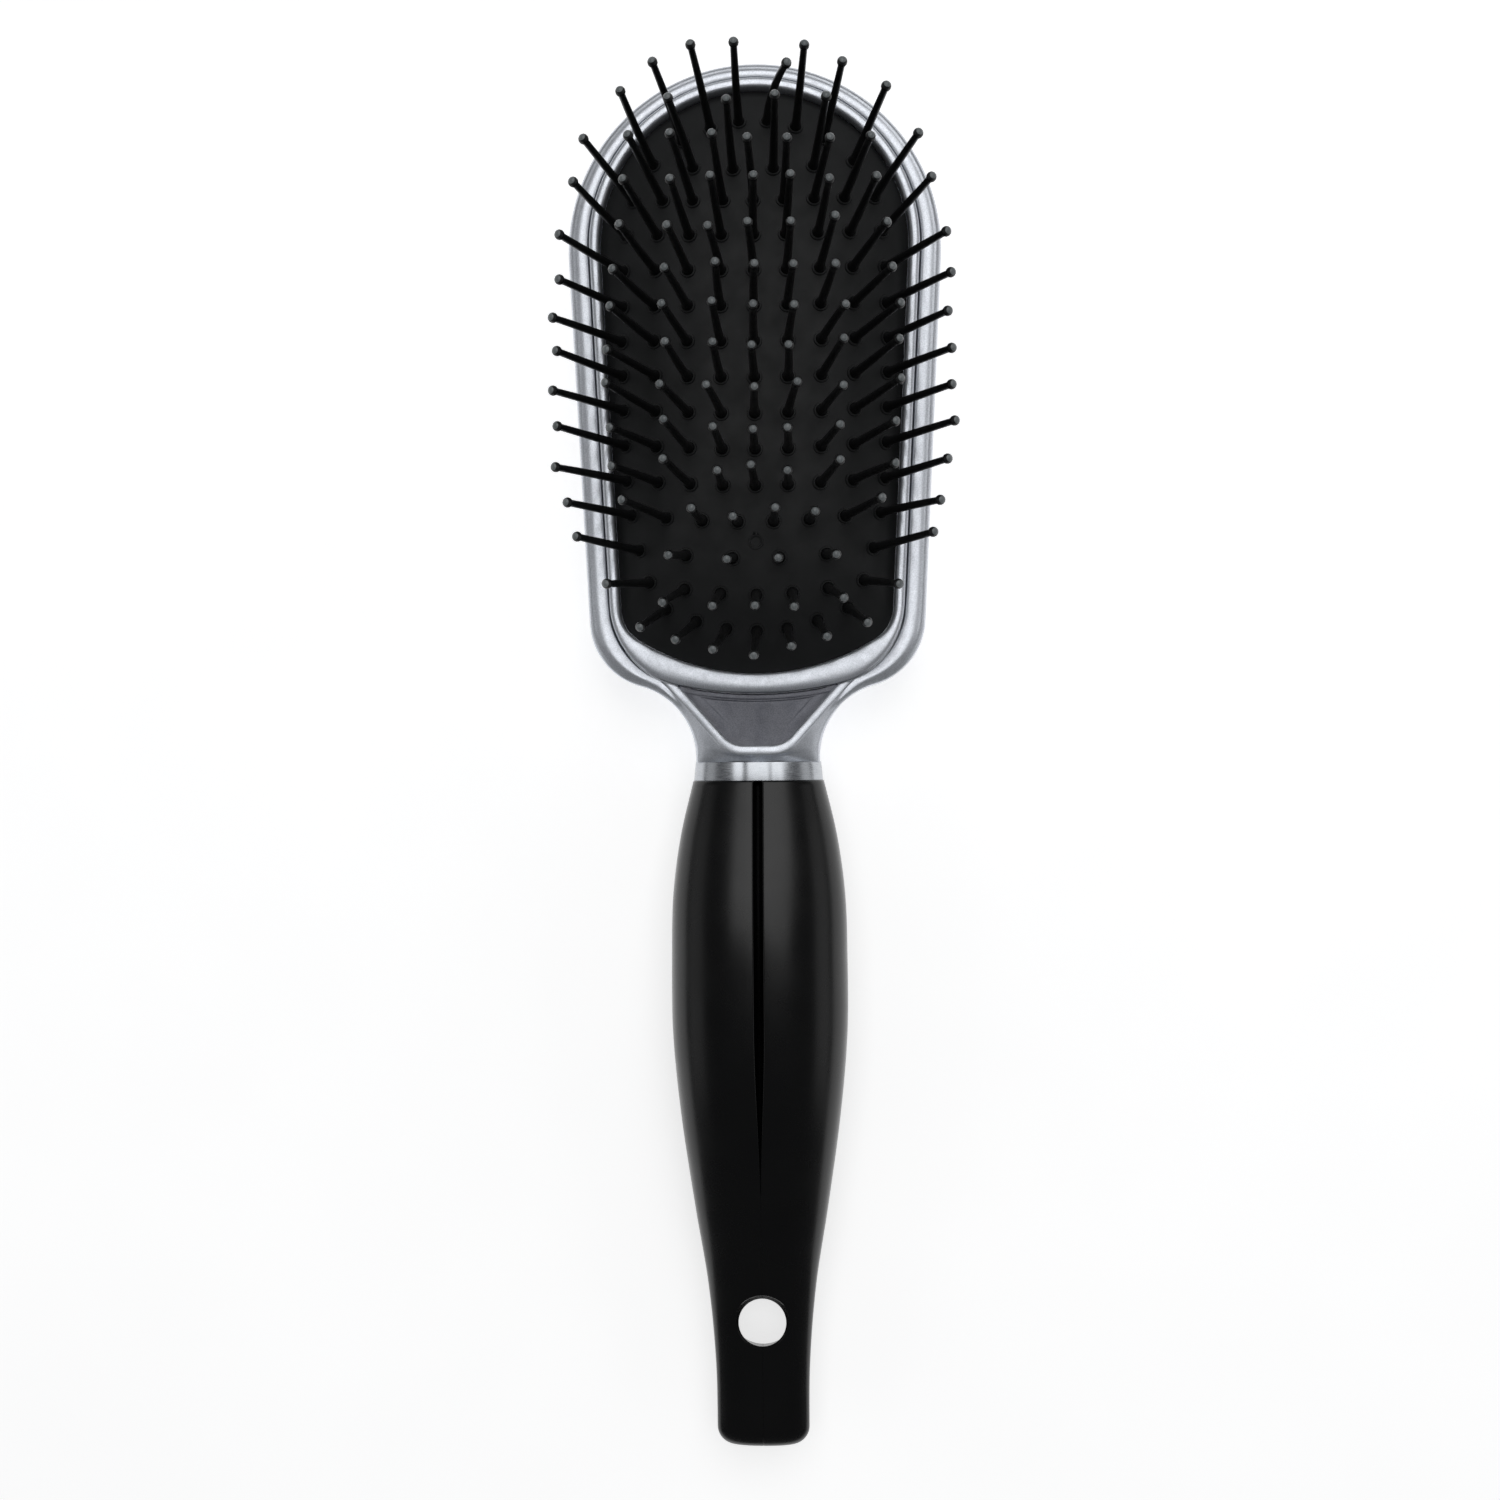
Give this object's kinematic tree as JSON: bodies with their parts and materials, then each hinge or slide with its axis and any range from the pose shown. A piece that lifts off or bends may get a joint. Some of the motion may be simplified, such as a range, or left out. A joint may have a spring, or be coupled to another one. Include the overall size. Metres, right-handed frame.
{
  "type": "paddle hair brush",
  "caption": "Paddle hair brush: a wide flat head with ball-tipped pins through a domed rubber air cushion, on a swelling handle with a hanging hole.",
  "frame": {"origin": "middle of the underside of the bounding box, on the surface that the brush lies on with its pins up", "axes": "+Y along the brush from the handle to the tip of the head, +X across the brush, +Z from the back towards the pins"},
  "size_m": [0.0656, 0.24, 0.0375],
  "materials": {
    "silver_lacquer": "silver metallic lacquer, satin gloss",
    "panel_grey": "dark grey metallic lacquer",
    "bright_band": "polished",
    "cushion_rubber": "matt black, faint sheen",
    "pin_nylon": "satin black, polished ball tips",
    "handle_black": "satin black"
  },
  "bodies": {
    "brush": {"paddle_body": "silver_lacquer", "cushion_bezel": "silver_lacquer", "neck_panel": "panel_grey", "ferrule": "bright_band", "air_cushion": "cushion_rubber", "handle_shell_left": "handle_black", "handle_shell_right": "handle_black"},
    "row_01": {"pin_row_01": "pin_nylon"},
    "row_02": {"pin_row_02": "pin_nylon"},
    "row_03": {"pin_row_03": "pin_nylon"},
    "row_04": {"pin_row_04": "pin_nylon"},
    "row_05": {"pin_row_05": "pin_nylon"},
    "row_06": {"pin_row_06": "pin_nylon"},
    "row_07": {"pin_row_07": "pin_nylon"},
    "row_08": {"pin_row_08": "pin_nylon"},
    "row_09": {"pin_row_09": "pin_nylon"},
    "row_10": {"pin_row_10": "pin_nylon"},
    "row_11": {"pin_row_11": "pin_nylon"},
    "row_12": {"pin_row_12": "pin_nylon"},
    "row_13": {"pin_row_13": "pin_nylon"},
    "row_14": {"pin_row_14": "pin_nylon"},
    "row_15": {"pin_row_15": "pin_nylon"}
  },
  "joints": [
    {"name": "row_01_press", "type": "slide", "parent": "brush", "child": "row_01", "axis": [0, 0, -1], "range_m": [0, 0.00125], "stiffness_N_per_m": 250},
    {"name": "row_02_press", "type": "slide", "parent": "brush", "child": "row_02", "axis": [0, 0, -1], "range_m": [0, 0.0016], "stiffness_N_per_m": 250},
    {"name": "row_03_press", "type": "slide", "parent": "brush", "child": "row_03", "axis": [0, 0, -1], "range_m": [0, 0.0019], "stiffness_N_per_m": 250},
    {"name": "row_04_press", "type": "slide", "parent": "brush", "child": "row_04", "axis": [0, 0, -1], "range_m": [0, 0.00215], "stiffness_N_per_m": 250},
    {"name": "row_05_press", "type": "slide", "parent": "brush", "child": "row_05", "axis": [0, 0, -1], "range_m": [0, 0.00233], "stiffness_N_per_m": 250},
    {"name": "row_06_press", "type": "slide", "parent": "brush", "child": "row_06", "axis": [0, 0, -1], "range_m": [0, 0.00245], "stiffness_N_per_m": 250},
    {"name": "row_07_press", "type": "slide", "parent": "brush", "child": "row_07", "axis": [0, 0, -1], "range_m": [0, 0.0025], "stiffness_N_per_m": 250},
    {"name": "cushion_press", "type": "slide", "parent": "brush", "child": "row_08", "axis": [0, 0, -1], "range_m": [0, 0.0025], "stiffness_N_per_m": 250, "deforming": ["air_cushion"]},
    {"name": "row_09_press", "type": "slide", "parent": "brush", "child": "row_09", "axis": [0, 0, -1], "range_m": [0, 0.0025], "stiffness_N_per_m": 250},
    {"name": "row_10_press", "type": "slide", "parent": "brush", "child": "row_10", "axis": [0, 0, -1], "range_m": [0, 0.00245], "stiffness_N_per_m": 250},
    {"name": "row_11_press", "type": "slide", "parent": "brush", "child": "row_11", "axis": [0, 0, -1], "range_m": [0, 0.00233], "stiffness_N_per_m": 250},
    {"name": "row_12_press", "type": "slide", "parent": "brush", "child": "row_12", "axis": [0, 0, -1], "range_m": [0, 0.00215], "stiffness_N_per_m": 250},
    {"name": "row_13_press", "type": "slide", "parent": "brush", "child": "row_13", "axis": [0, 0, -1], "range_m": [0, 0.0019], "stiffness_N_per_m": 250},
    {"name": "row_14_press", "type": "slide", "parent": "brush", "child": "row_14", "axis": [0, 0, -1], "range_m": [0, 0.0016], "stiffness_N_per_m": 250},
    {"name": "row_15_press", "type": "slide", "parent": "brush", "child": "row_15", "axis": [0, 0, -1], "range_m": [0, 0.00125], "stiffness_N_per_m": 250}
  ],
  "couplings": [
    {"joint": "row_01_press", "follows": "cushion_press", "ratio": 0.5},
    {"joint": "row_02_press", "follows": "cushion_press", "ratio": 0.64},
    {"joint": "row_03_press", "follows": "cushion_press", "ratio": 0.76},
    {"joint": "row_04_press", "follows": "cushion_press", "ratio": 0.86},
    {"joint": "row_05_press", "follows": "cushion_press", "ratio": 0.93},
    {"joint": "row_06_press", "follows": "cushion_press", "ratio": 0.98},
    {"joint": "row_07_press", "follows": "cushion_press", "ratio": 1},
    {"joint": "row_09_press", "follows": "cushion_press", "ratio": 1},
    {"joint": "row_10_press", "follows": "cushion_press", "ratio": 0.98},
    {"joint": "row_11_press", "follows": "cushion_press", "ratio": 0.93},
    {"joint": "row_12_press", "follows": "cushion_press", "ratio": 0.86},
    {"joint": "row_13_press", "follows": "cushion_press", "ratio": 0.76},
    {"joint": "row_14_press", "follows": "cushion_press", "ratio": 0.64},
    {"joint": "row_15_press", "follows": "cushion_press", "ratio": 0.5}
  ]
}
